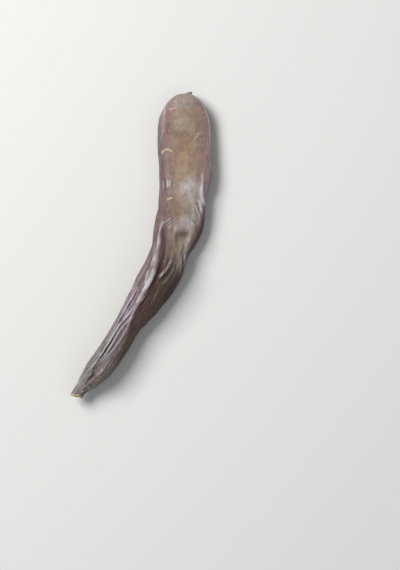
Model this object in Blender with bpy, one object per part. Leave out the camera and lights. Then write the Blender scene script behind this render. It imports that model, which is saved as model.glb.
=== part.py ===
"""One dry carob pod, lying on a level surface.

The pod is a long flat legume. Its spine runs straight from the beak, then bends and turns on
itself towards the stalk, so that one thick seam margin comes up into view. It grew as one piece
and is one solid. X is to the right and Y towards the beak as seen from above, Z is up, and the
origin is on the surface that the pod rests on, under the middle of its box.
"""

import bmesh
import bpy
import numpy as np

MM = 0.001

# Driving dimensions, in millimetres and degrees. Each station is a section of the pod: where its
# middle is from the beak (right, towards the beak, up), its half width from seam to seam, its half
# thickness, and how far it is turned so that the left margin comes up.
STATIONS = (
    (-2.5, 0.0, 7.7, 0.0, 0.0, 0.0),
    (-2.5, -1.0, 7.7, 5.0, 2.25, 0.0),
    (-2.5, -4.0, 7.6, 8.75, 3.75, 1.0),
    (-2.5, -9.5, 7.5, 12.25, 4.5, 6.0),
    (-2.5, -15.0, 7.4, 14.25, 5.0, 12.0),
    (-2.5, -20.5, 7.4, 14.75, 5.0, 12.0),
    (-2.5, -31.5, 7.5, 14.75, 5.25, 10.0),
    (-2.0, -45.0, 7.6, 14.75, 5.25, 9.0),
    (-3.5, -56.0, 8.1, 13.0, 5.25, 14.0),
    (-4.0, -64.5, 9.0, 13.0, 5.5, 20.0),
    (-5.5, -72.5, 10.1, 14.0, 5.5, 27.0),
    (-8.0, -79.5, 11.0, 13.25, 5.5, 34.0),
    (-10.5, -87.0, 11.8, 11.25, 5.25, 42.0),
    (-14.0, -97.0, 12.2, 12.25, 5.75, 49.0),
    (-18.5, -105.0, 11.9, 12.25, 6.0, 51.0),
    (-23.5, -113.0, 11.1, 10.75, 6.0, 53.0),
    (-29.0, -120.5, 10.6, 9.25, 5.5, 56.0),
    (-34.0, -128.0, 10.1, 8.0, 5.0, 61.0),
    (-40.5, -139.0, 9.4, 8.0, 5.5, 69.0),
    (-48.5, -150.0, 8.8, 8.5, 5.75, 72.0),
    (-55.5, -158.5, 8.2, 5.5, 4.25, 70.0),
    (-59.5, -163.0, 8.2, 3.75, 3.0, 62.0),
    (-61.5, -166.0, 8.5, 3.25, 2.5, 56.0),
)

# The margins bulge out this far past a square edge, the rims are at this share of the half
# thickness, and the faces are crowned.
MARGIN_BULGE = 1.45
RIM_AT = 0.72
CROWN = 0.9

# Distances round the skin: a half face is this share of the half width, and the rounded margin
# from rim to lower rim is this many half thicknesses.
FACE_GIRTH = 0.97
MARGIN_GIRTH = 1.75

SIDES = 64
RINGS = 88
EDGE_ROWS = 7

# The rims, where the faces meet the margins, and the seams along the middle of both margins.
# Away from the tip only a share of the rims' height is left.
RIM_HEIGHT = 0.4
RIM_HALF_WIDTH = 0.75
RIM_LEFT = 0.4
RIM_END = 36.0
RIM_FADE = 4.0
SEAM_DEPTH = 0.5
SEAM_HALF_WIDTH = 0.8
LEFT_SEAM_END = 112.0
LEFT_SEAM_FADE = 5.0

# Folds, ridges and grooves of the dried skin: (height over the skin, half width, the points it
# runs through). A point is (distance from the beak, place round), and places round the pod are 0
# in the middle of the upper face, 1 at its rim, 1.5 at the seam, 2 at the lower rim and 3 in the
# middle of the underside. They are negative on the left half.
FOLDS = (
    (1.1, 3.3, ((77.2, -0.45), (76.4, -0.15), (75.2, 0.14), (74.0, 0.38), (72.0, 0.62))),
    (-1.1, 2.9, ((80.8, -0.33), (79.5, -0.04), (78.2, 0.22), (77.2, 0.42))),
    (-0.5, 1.6, ((73.0, -0.8), (78.0, -0.78), (86.0, -0.76), (96.0, -0.74), (106.0, -0.74))),
    (0.65, 1.1, ((75.5, -0.95), (80.0, -1.02), (86.0, -1.08), (98.0, -1.01), (116.0, -1.0))),
    (0.7, 1.7, ((72.5, 0.53), (77.0, 0.48), (82.0, 0.48), (88.0, 0.5), (93.0, 0.62))),
    (0.6, 1.5, ((82.0, 0.22), (87.5, 0.12), (92.8, 0.2), (97.0, 0.5))),
    (0.6, 1.6, ((88.5, -0.26), (94.9, -0.34), (98.3, -0.44), (104.0, -0.66))),
    (0.5, 1.6, ((94.5, -0.03), (99.0, -0.05), (106.0, -0.14), (118.0, -0.18))),
    (-0.6, 1.3, ((96.0, 0.52), (101.0, 0.4), (108.0, 0.36), (118.0, 0.38))),
    (-0.4, 1.4, ((50.5, -0.92), (53.0, -0.93), (58.0, -0.91))),
    (-0.4, 1.4, ((48.0, 0.82), (53.0, 0.9), (59.0, 1.0))),
    (-0.4, 1.3, ((57.0, 0.56), (62.0, 0.62), (67.0, 0.7))),
    (-0.6, 0.8, ((116.0, -1.44), (124.8, -1.47), (130.0, -1.54), (137.8, -1.6), (157.0, -1.77))),
    (-0.5, 0.8, ((127.0, -0.97), (132.6, -1.06), (139.0, -1.38), (155.5, -1.5), (168.0, -1.33))),
    (0.4, 0.9, ((123.0, -1.14), (131.5, -1.3), (141.0, -1.57), (155.0, -1.67), (170.0, -1.64))),
    (0.6, 1.2, ((128.0, -0.92), (136.5, -0.78), (148.0, -0.72), (162.0, -0.86), (174.0, -0.8))),
    (-0.5, 1.3, ((138.0, 0.1), (150.0, 0.0), (160.0, -0.05), (172.0, 0.1))),
    (-0.6, 1.6, ((16.0, 2.75), (34.0, 2.6), (52.0, 2.7), (70.0, 2.55), (88.0, 2.7))),
    (0.5, 1.8, ((44.0, -2.5), (60.0, -2.6), (78.0, -2.45), (98.0, -2.6))),
    (-0.9, 2.4, ((74.0, 2.25), (82.0, 2.4), (92.0, 2.55), (104.0, 2.6))),
    (-0.7, 1.4, ((96.0, -2.4), (112.0, -2.55), (130.0, -2.6), (150.0, -2.5), (168.0, -2.6))),
    (-0.6, 1.2, ((104.0, 2.5), (124.0, 2.7), (144.0, 2.6), (166.0, 2.7))),
    (0.5, 1.3, ((100.0, 1.35), (120.0, 1.3), (140.0, 1.4), (164.0, 1.35))),
)
SWELL = 0.3

# The dry point at the tip, and the scar where the stalk broke off.
BEAK_FOOT = (-0.3, -0.5, 7.7)
BEAK_RISE = (1.2, 1.6, 0.1)
BEAK_BEND = (0.6, -0.3, 0.1)
BEAK_RADIUS = 1.4
COLLAR_HEIGHT = 0.4
COLLAR_WIDTH = 1.3
NECK_DEPTH = 0.35
NECK_AT = 4.5
NECK_WIDTH = 2.2
SCAR_DISH = 0.6
CUT_SLANT = 0.42
CUT_KEPT = 2.6
CUT_REACH = 3.5

# The pod lies on three small flat spots, worn level at this height, and the middle of its box is
# this far from the beak.
REST_HEIGHT = 0.25
BOX_MIDDLE = (-26.14, -83.29)
SKIN_COLOUR = (0.165, 0.105, 0.080, 1.0)


def spline(knots, values, at):
    """A natural cubic spline through the values, which has no kinks in its bend."""
    gaps = np.diff(knots)
    slopes = np.diff(values, axis=0) / gaps[:, None]
    count = len(knots)
    system = np.eye(count)
    wanted = np.zeros((count, values.shape[1]))
    for i in range(1, count - 1):
        system[i, i - 1 : i + 2] = gaps[i - 1], 2 * (gaps[i - 1] + gaps[i]), gaps[i]
        wanted[i] = 6 * (slopes[i] - slopes[i - 1])
    bends = np.linalg.solve(system, wanted)
    i = np.clip(np.searchsorted(knots, at) - 1, 0, count - 2)
    h = gaps[i][:, None]
    before = (knots[i + 1] - at)[:, None] / h
    after = 1 - before
    curved = (before**3 - before) * bends[i] + (after**3 - after) * bends[i + 1]
    return before * values[i] + after * values[i + 1] + curved * h * h / 6


def steady_curve(knots, values, at):
    """A smooth curve through the values that never passes beyond them."""
    gaps = np.diff(knots)
    slopes = np.diff(values) / gaps
    both = slopes[:-1] * slopes[1:]
    total = np.where(both > 0, slopes[:-1] + slopes[1:], 1)
    inner = np.where(both > 0, 2 * both / total, 0)
    tilt = np.concatenate([slopes[:1], inner, slopes[-1:]])
    i = np.clip(np.searchsorted(knots, at) - 1, 0, len(knots) - 2)
    h, t = gaps[i], (at - knots[i]) / gaps[i]
    first = (1 + 2 * t) * (1 - t) ** 2 * values[i] + t * (1 - t) ** 2 * h * tilt[i]
    return first + t * t * (3 - 2 * t) * values[i + 1] + t * t * (t - 1) * h * tilt[i + 1]


class Spine:
    """The line along the pod's middle, with its sizes and the axes of each section."""

    def __init__(self, stations):
        table = np.array(stations)
        steps = np.linalg.norm(np.diff(table[:, :3], axis=0), axis=1)
        self.knots = np.concatenate([[0], np.cumsum(steps)])
        self.table = table
        self.length = self.knots[-1]

    def place(self, along):
        return spline(self.knots, self.table[:, :3], along)

    def size(self, column, along):
        """A half size. Its square is what varies evenly, so that the ends close round."""
        squares = steady_curve(self.knots, self.table[:, column] ** 2, along)
        return np.sqrt(np.maximum(squares, 0))

    def width(self, along):
        return self.size(3, along)

    def thickness(self, along):
        return self.size(4, along)

    def axes(self, along):
        """(towards the right margin, towards the upper face) of each section."""
        step = 0.5
        ahead = self.place(np.minimum(along + step, self.length))
        behind = self.place(np.maximum(along - step, 0))
        way = ahead - behind
        way /= np.linalg.norm(way, axis=1)[:, None]
        right = np.cross([0, 0, 1.0], way)
        right /= np.linalg.norm(right, axis=1)[:, None]
        lift = np.cross(way, right)
        turn = np.radians(spline(self.knots, self.table[:, 5:6], along))
        return (
            np.cos(turn) * right - np.sin(turn) * lift,
            np.cos(turn) * lift + np.sin(turn) * right,
        )


def ring_places(spine, rings):
    """(distance along the spine, share of the section's size) of each ring. The rings are even
    over the outline, closer at the beak, and the last ones close the end where the stalk was."""
    steps = np.linspace(0, 1, 3000)
    along = np.concatenate([spine.length * steps**2 * (3 - 2 * steps), np.full(200, spine.length)])
    share = np.concatenate([np.ones(3000), np.linspace(1, 0, 200)])
    reach = spine.width(along) * share
    out = np.hypot(np.diff(along), np.diff(reach))
    from_ends = np.minimum(along, spine.length - along + 2)[1:]
    density = 1 + 1.5 * np.exp(-from_ends / 6) + 6 * np.exp(-along[1:] / 1.5)
    total = np.concatenate([[0], np.cumsum(out * density)])
    wanted = np.linspace(0, total[-1], rings + 1)
    return np.interp(wanted, total, along), np.interp(wanted, total, share)


def section_rows(sides):
    """For each point round a section: (sign across, sign through, row in its quarter)."""
    quarter = sides // 4
    rows = []
    for i in range(sides):
        part, k = divmod(i, quarter)
        k = k if part % 2 == 0 else quarter - k
        rows.append((1 if part in (0, 3) else -1, 1 if part in (0, 1) else -1, k))
    return np.array(rows)


def sections(width, thickness, sides, edge_rows):
    """Points (across, through) of each section, from the right seam over the upper face to the
    left seam and back under, and their place round the pod: 0 is the middle of the upper face, 1
    the right rim, 1.5 the right seam and 2 the lower rim, and the left side is negative."""
    rows = section_rows(sides)
    quarter = sides // 4
    k = rows[:, 2]
    on_edge = k <= edge_rows
    squareness = np.clip(width / MARGIN_BULGE, 2.0, 10.0)[:, None]
    edge_part = np.where(on_edge, k / edge_rows, 1) * RIM_AT
    face_part = np.where(on_edge, 1, (quarter - k) / (quarter - edge_rows))
    rim_across = (1 - RIM_AT**2) ** (1 / squareness)
    across = np.where(on_edge, (1 - edge_part**2) ** (1 / squareness), rim_across * face_part)
    through = np.where(on_edge, edge_part, np.sqrt(1 - across**squareness))
    crown = CROWN * np.minimum(thickness / 5, 1)[:, None] * (1 - across**2) ** 2
    points = np.stack(
        [
            rows[:, 0] * across * width[:, None],
            rows[:, 1] * (through * thickness[:, None] + crown),
        ],
        axis=2,
    )
    inward = np.where(on_edge, 1.5 - 0.5 * k / edge_rows, (quarter - k) / (quarter - edge_rows))
    round_place = rows[:, 0] * np.where(rows[:, 1] > 0, inward, 3 - inward)
    return points, round_place


def skin_distance(around, width, thickness):
    """How far round the skin each place is from the middle of the upper face."""
    face = FACE_GIRTH * width[:, None]
    edge = MARGIN_GIRTH * thickness[:, None]
    out = np.abs(around)
    on_edge = face + (out - 1) * edge
    under = face + edge + (out - 2) * face
    return np.sign(around) * np.where(out < 1, out * face, np.where(out < 2, on_edge, under))


def fold_shape(spine, along, skin, girth, fold):
    """The height of one fold, which fades out at both its ends."""
    height, half_width, points = fold
    at = np.array(points)
    widths, depths = spine.width(at[:, 0]), spine.thickness(at[:, 0])
    side = np.diag(skin_distance(at[:, 1], widths, depths))
    steps = np.hypot(np.diff(at[:, 0]), np.diff(side))
    passed = np.concatenate([[0], np.cumsum(steps)]) / steps.sum()
    nearest = np.full(skin.shape, np.inf)
    share = np.zeros(skin.shape)
    for i in range(len(points) - 1):
        run, rise = at[i + 1, 0] - at[i, 0], side[i + 1] - side[i]
        ahead = along[:, None] - at[i, 0]
        beside = (skin - side[i] + girth / 2) % girth - girth / 2
        part = np.clip((ahead * run + beside * rise) / (run * run + rise * rise), 0, 1)
        gap = np.hypot(ahead - part * run, beside - part * rise)
        closer = gap < nearest
        nearest = np.where(closer, gap, nearest)
        share = np.where(closer, passed[i] + part * (passed[i + 1] - passed[i]), share)
    fade = np.clip(5 * np.minimum(share, 1 - share), 0, 1)
    return height * np.exp(-((nearest / half_width) ** 2)) * fade * (2 - fade)


def swells(places):
    """The slow, uneven rise and fall of a dried skin, from -1 to 1."""
    x, y, z = np.moveaxis(places, 2, 0)
    first = np.sin(x / 5.1 + y / 9.3)
    second = np.sin(y / 5.7 - z / 4.1 + 2.0)
    third = np.sin(x / 3.7 - y / 8.1 + z / 4.7 + 4.0)
    return (first + second + third) / 3


def relief(spine, along, around, width, thickness, places):
    """How far the finished skin stands above or below the smooth sections."""
    skin = skin_distance(around, width, thickness)
    girth = 4 * FACE_GIRTH * width[:, None] + 2 * MARGIN_GIRTH * thickness[:, None] + 0.01
    rims = skin_distance(np.array([1.0, 2.0]), width, thickness)
    seams = skin_distance(np.array([1.5]), width, thickness)
    height = SWELL * swells(places)
    near_tip = 1 / (1 + np.exp((along[:, None] - RIM_END) / RIM_FADE))
    raised = RIM_HEIGHT * (RIM_LEFT + (1 - RIM_LEFT) * near_tip)
    for i in range(2):
        gap = (np.abs(skin) - rims[:, i : i + 1]) / RIM_HALF_WIDTH
        height += raised * np.exp(-(gap**2))
    gap = (np.abs(skin) - seams) / SEAM_HALF_WIDTH
    plain = 1 / (1 + np.exp((along[:, None] - LEFT_SEAM_END) / LEFT_SEAM_FADE))
    height -= SEAM_DEPTH * np.exp(-(gap**2)) * np.where(around < 0, plain, 1)
    for fold in FOLDS:
        height += fold_shape(spine, along, skin, girth, fold)
    from_end = (spine.length - along)[:, None]
    height += COLLAR_HEIGHT * np.exp(-((from_end / COLLAR_WIDTH) ** 2))
    height -= NECK_DEPTH * np.exp(-(((from_end - NECK_AT) / NECK_WIDTH) ** 2))
    return height


def outward(places):
    """The direction straight out of the skin at each point."""
    around_it = np.roll(places, -1, axis=1) - np.roll(places, 1, axis=1)
    along_it = np.gradient(places, axis=0)
    out = np.cross(around_it, along_it)
    return out / np.maximum(np.linalg.norm(out, axis=2), 1e-9)[:, :, None]


def beak(places):
    """Draws the skin round the tip out into a small hooked point."""
    gap = np.linalg.norm(places - BEAK_FOOT, axis=2) / BEAK_RADIUS
    drawn = np.exp(-(gap**3))[:, :, None]
    return drawn * BEAK_RISE + drawn**3 * BEAK_BEND


def slanted_cut(spine, along, places, way):
    """Draws the left side of the stalk end out, because the stalk broke off at a slant."""
    left_of_middle = (spine.place(along)[:, None] - places)[:, :, 0]
    from_end = (spine.length - along)[:, None]
    draw = CUT_SLANT * (left_of_middle + CUT_KEPT) * np.exp(-((from_end / CUT_REACH) ** 2))
    return draw[:, :, None] * way[:, None]


def pod_grid(rings, sides, edge_rows):
    """The pod's skin in millimetres, as rings of points from the beak to the stalk, with how far
    along the spine and where round the pod they are."""
    spine = Spine(STATIONS)
    along, share = ring_places(spine, rings)
    width = spine.width(along) * share
    thickness = spine.thickness(along) * share
    points, around = sections(width, thickness, sides, edge_rows)
    across_axis, through_axis = spine.axes(along)
    places = (
        spine.place(along)[:, None]
        + points[:, :, :1] * across_axis[:, None]
        + points[:, :, 1:] * through_axis[:, None]
    )
    height = relief(spine, along, around, width, thickness, places)
    height *= (np.minimum(width / 6, 1) * share**2)[:, None]
    way = np.cross(across_axis, through_axis)
    places += outward(places) * height[:, :, None]
    places -= (SCAR_DISH * (1 - share**2))[:, None, None] * way[:, None]
    places += slanted_cut(spine, along, places, way)
    places += beak(places)
    places[:, :, 2] = np.maximum(places[:, :, 2], REST_HEIGHT)
    return places, along, around


def shaped_sphere(name, places):
    """A UV sphere whose rings become the pod's sections, from the beak to the stalk."""
    rings, sides = len(places) - 1, places.shape[1]
    mesh = bpy.data.meshes.new(name)
    form = bmesh.new()
    bmesh.ops.create_uvsphere(form, u_segments=sides, v_segments=rings, radius=1)
    for vertex in form.verts:
        x, y, z = vertex.co
        ring = round(np.arccos(np.clip(-z, -1, 1)) / np.pi * rings)
        side = round(np.arctan2(y, x) / (2 * np.pi) * sides) % sides
        vertex.co = places[ring, side] * MM
    form.to_mesh(mesh)
    form.free()
    return mesh


def skin_material():
    material = bpy.data.materials.new("pod_skin")
    material.use_nodes = True
    shader = material.node_tree.nodes["Principled BSDF"]
    shader.inputs["Base Color"].default_value = SKIN_COLOUR
    shader.inputs["Roughness"].default_value = 0.48
    shader.inputs["Metallic"].default_value = 0.0
    return material


def main():
    for obj in list(bpy.data.objects):
        bpy.data.objects.remove(obj)
    places = pod_grid(RINGS, SIDES, EDGE_ROWS)[0]
    places -= (*BOX_MIDDLE, REST_HEIGHT)
    mesh = shaped_sphere("pod", places)
    mesh.materials.append(skin_material())
    mesh.shade_smooth()
    pod = bpy.data.objects.new("pod", mesh)
    collection = bpy.data.collections.new("carob_pod")
    bpy.context.scene.collection.children.link(collection)
    collection.objects.link(pod)


main()
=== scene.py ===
"""One dry carob pod as it looks: its fine skin, its material, the floor, the light, the camera."""

import math

import bmesh
import bpy
import numpy as np
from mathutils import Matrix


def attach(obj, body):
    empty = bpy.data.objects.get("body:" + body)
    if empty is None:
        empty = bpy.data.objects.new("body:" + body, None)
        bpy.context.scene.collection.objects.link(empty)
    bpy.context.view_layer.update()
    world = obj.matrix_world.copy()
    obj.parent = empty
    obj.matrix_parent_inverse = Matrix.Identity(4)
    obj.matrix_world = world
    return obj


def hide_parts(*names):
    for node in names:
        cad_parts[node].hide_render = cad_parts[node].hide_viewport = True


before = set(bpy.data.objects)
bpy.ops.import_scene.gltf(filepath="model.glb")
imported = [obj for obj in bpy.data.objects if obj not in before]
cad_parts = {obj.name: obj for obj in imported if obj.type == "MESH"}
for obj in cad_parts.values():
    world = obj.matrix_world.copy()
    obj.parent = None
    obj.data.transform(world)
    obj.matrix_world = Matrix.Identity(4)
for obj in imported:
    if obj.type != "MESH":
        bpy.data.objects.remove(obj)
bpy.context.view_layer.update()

MM = 0.001

# Driving dimensions of the solid, in millimetres and degrees. Each station is a section of the
# pod: where its middle is from the beak (right, towards the beak, up), its half width from seam
# to seam, its half thickness, and how far it is turned so that the left margin comes up.
STATIONS = (
    (-2.5, 0.0, 7.7, 0.0, 0.0, 0.0),
    (-2.5, -1.0, 7.7, 5.0, 2.25, 0.0),
    (-2.5, -4.0, 7.6, 8.75, 3.75, 1.0),
    (-2.5, -9.5, 7.5, 12.25, 4.5, 6.0),
    (-2.5, -15.0, 7.4, 14.25, 5.0, 12.0),
    (-2.5, -20.5, 7.4, 14.75, 5.0, 12.0),
    (-2.5, -31.5, 7.5, 14.75, 5.25, 10.0),
    (-2.0, -45.0, 7.6, 14.75, 5.25, 9.0),
    (-3.5, -56.0, 8.1, 13.0, 5.25, 14.0),
    (-4.0, -64.5, 9.0, 13.0, 5.5, 20.0),
    (-5.5, -72.5, 10.1, 14.0, 5.5, 27.0),
    (-8.0, -79.5, 11.0, 13.25, 5.5, 34.0),
    (-10.5, -87.0, 11.8, 11.25, 5.25, 42.0),
    (-14.0, -97.0, 12.2, 12.25, 5.75, 49.0),
    (-18.5, -105.0, 11.9, 12.25, 6.0, 51.0),
    (-23.5, -113.0, 11.1, 10.75, 6.0, 53.0),
    (-29.0, -120.5, 10.6, 9.25, 5.5, 56.0),
    (-34.0, -128.0, 10.1, 8.0, 5.0, 61.0),
    (-40.5, -139.0, 9.4, 8.0, 5.5, 69.0),
    (-48.5, -150.0, 8.8, 8.5, 5.75, 72.0),
    (-55.5, -158.5, 8.2, 5.5, 4.25, 70.0),
    (-59.5, -163.0, 8.2, 3.75, 3.0, 62.0),
    (-61.5, -166.0, 8.5, 3.25, 2.5, 56.0),
)

# The margins bulge out this far past a square edge, the rims are at this share of the half
# thickness, and the faces are crowned.
MARGIN_BULGE = 1.45
RIM_AT = 0.72
CROWN = 0.9

# Distances round the skin: a half face is this share of the half width, and the rounded margin
# from rim to lower rim is this many half thicknesses.
FACE_GIRTH = 0.97
MARGIN_GIRTH = 1.75

# Points round a section, sections along the pod, and rows of points from a seam to its rim.
SIDES = 256
RINGS = 372
EDGE_ROWS = 24

# The sections are placed by fine steps along the spine and over the closed stalk end. They are
# closer near both ends and closest at the beak: (how much closer, how far that reaches). The
# stalk end counts as a little further off than it is.
SPINE_STEPS = 3000
CLOSING_STEPS = 200
CLOSER_AT_ENDS = (1.5, 6.0)
CLOSER_AT_BEAK = (6.0, 1.5)
STALK_MARGIN = 2.0

# The rims, where the faces meet the margins, and the seams along the middle of both margins.
# Away from the tip only a share of the rims' height is left.
RIM_HEIGHT = 0.4
RIM_HALF_WIDTH = 0.75
RIM_LEFT = 0.4
RIM_END = 36.0
RIM_FADE = 4.0
SEAM_DEPTH = 0.5
SEAM_HALF_WIDTH = 0.8
LEFT_SEAM_END = 112.0
LEFT_SEAM_FADE = 5.0

# Main folds, ridges and grooves of the dried skin, as in the solid: (height over the skin, half
# width, the points it runs through). A point is (distance from the beak, place round), and places
# round the pod are 0 in the middle of the upper face, 1 at its rim, 1.5 at the seam, 2 at the
# lower rim and 3 in the middle of the underside. They are negative on the left half.
FOLDS = (
    (1.1, 3.3, ((77.2, -0.45), (76.4, -0.15), (75.2, 0.14), (74.0, 0.38), (72.0, 0.62))),
    (-1.1, 2.9, ((80.8, -0.33), (79.5, -0.04), (78.2, 0.22), (77.2, 0.42))),
    (-0.5, 1.6, ((73.0, -0.8), (78.0, -0.78), (86.0, -0.76), (96.0, -0.74), (106.0, -0.74))),
    (0.65, 1.1, ((75.5, -0.95), (80.0, -1.02), (86.0, -1.08), (98.0, -1.01), (116.0, -1.0))),
    (0.7, 1.7, ((72.5, 0.53), (77.0, 0.48), (82.0, 0.48), (88.0, 0.5), (93.0, 0.62))),
    (0.6, 1.5, ((82.0, 0.22), (87.5, 0.12), (92.8, 0.2), (97.0, 0.5))),
    (0.6, 1.6, ((88.5, -0.26), (94.9, -0.34), (98.3, -0.44), (104.0, -0.66))),
    (0.5, 1.6, ((94.5, -0.03), (99.0, -0.05), (106.0, -0.14), (118.0, -0.18))),
    (-0.6, 1.3, ((96.0, 0.52), (101.0, 0.4), (108.0, 0.36), (118.0, 0.38))),
    (-0.4, 1.4, ((50.5, -0.92), (53.0, -0.93), (58.0, -0.91))),
    (-0.4, 1.4, ((48.0, 0.82), (53.0, 0.9), (59.0, 1.0))),
    (-0.4, 1.3, ((57.0, 0.56), (62.0, 0.62), (67.0, 0.7))),
    (-0.6, 0.8, ((116.0, -1.44), (124.8, -1.47), (130.0, -1.54), (137.8, -1.6), (157.0, -1.77))),
    (-0.5, 0.8, ((127.0, -0.97), (132.6, -1.06), (139.0, -1.38), (155.5, -1.5), (168.0, -1.33))),
    (0.4, 0.9, ((123.0, -1.14), (131.5, -1.3), (141.0, -1.57), (155.0, -1.67), (170.0, -1.64))),
    (0.6, 1.2, ((128.0, -0.92), (136.5, -0.78), (148.0, -0.72), (162.0, -0.86), (174.0, -0.8))),
    (-0.5, 1.3, ((138.0, 0.1), (150.0, 0.0), (160.0, -0.05), (172.0, 0.1))),
    (-0.6, 1.6, ((16.0, 2.75), (34.0, 2.6), (52.0, 2.7), (70.0, 2.55), (88.0, 2.7))),
    (0.5, 1.8, ((44.0, -2.5), (60.0, -2.6), (78.0, -2.45), (98.0, -2.6))),
    (-0.9, 2.4, ((74.0, 2.25), (82.0, 2.4), (92.0, 2.55), (104.0, 2.6))),
    (-0.7, 1.4, ((96.0, -2.4), (112.0, -2.55), (130.0, -2.6), (150.0, -2.5), (168.0, -2.6))),
    (-0.6, 1.2, ((104.0, 2.5), (124.0, 2.7), (144.0, 2.6), (166.0, 2.7))),
    (0.5, 1.3, ((100.0, 1.35), (120.0, 1.3), (140.0, 1.4), (164.0, 1.35))),
)

# How far the whole skin rises and falls slowly, without a fold.
SWELL = 0.3

# The dry point at the tip: its foot, how far it is drawn out, how its end bends, its radius.
BEAK_FOOT = (-0.3, -0.5, 7.7)
BEAK_RISE = (1.2, 1.6, 0.1)
BEAK_BEND = (0.6, -0.3, 0.1)
BEAK_RADIUS = 1.4

# The stalk end: its collar, the neck before it, the dished scar and the slant of the break.
COLLAR_HEIGHT = 0.4
COLLAR_WIDTH = 1.3
NECK_DEPTH = 0.35
NECK_AT = 4.5
NECK_WIDTH = 2.2
SCAR_DISH = 0.6
CUT_SLANT = 0.42
CUT_KEPT = 2.6
CUT_REACH = 3.5

# The pod lies on three small flat spots, worn level at this height, and the middle of its box is
# this far from the beak.
REST_HEIGHT = 0.25
BOX_MIDDLE = (-26.14, -83.29)

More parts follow.
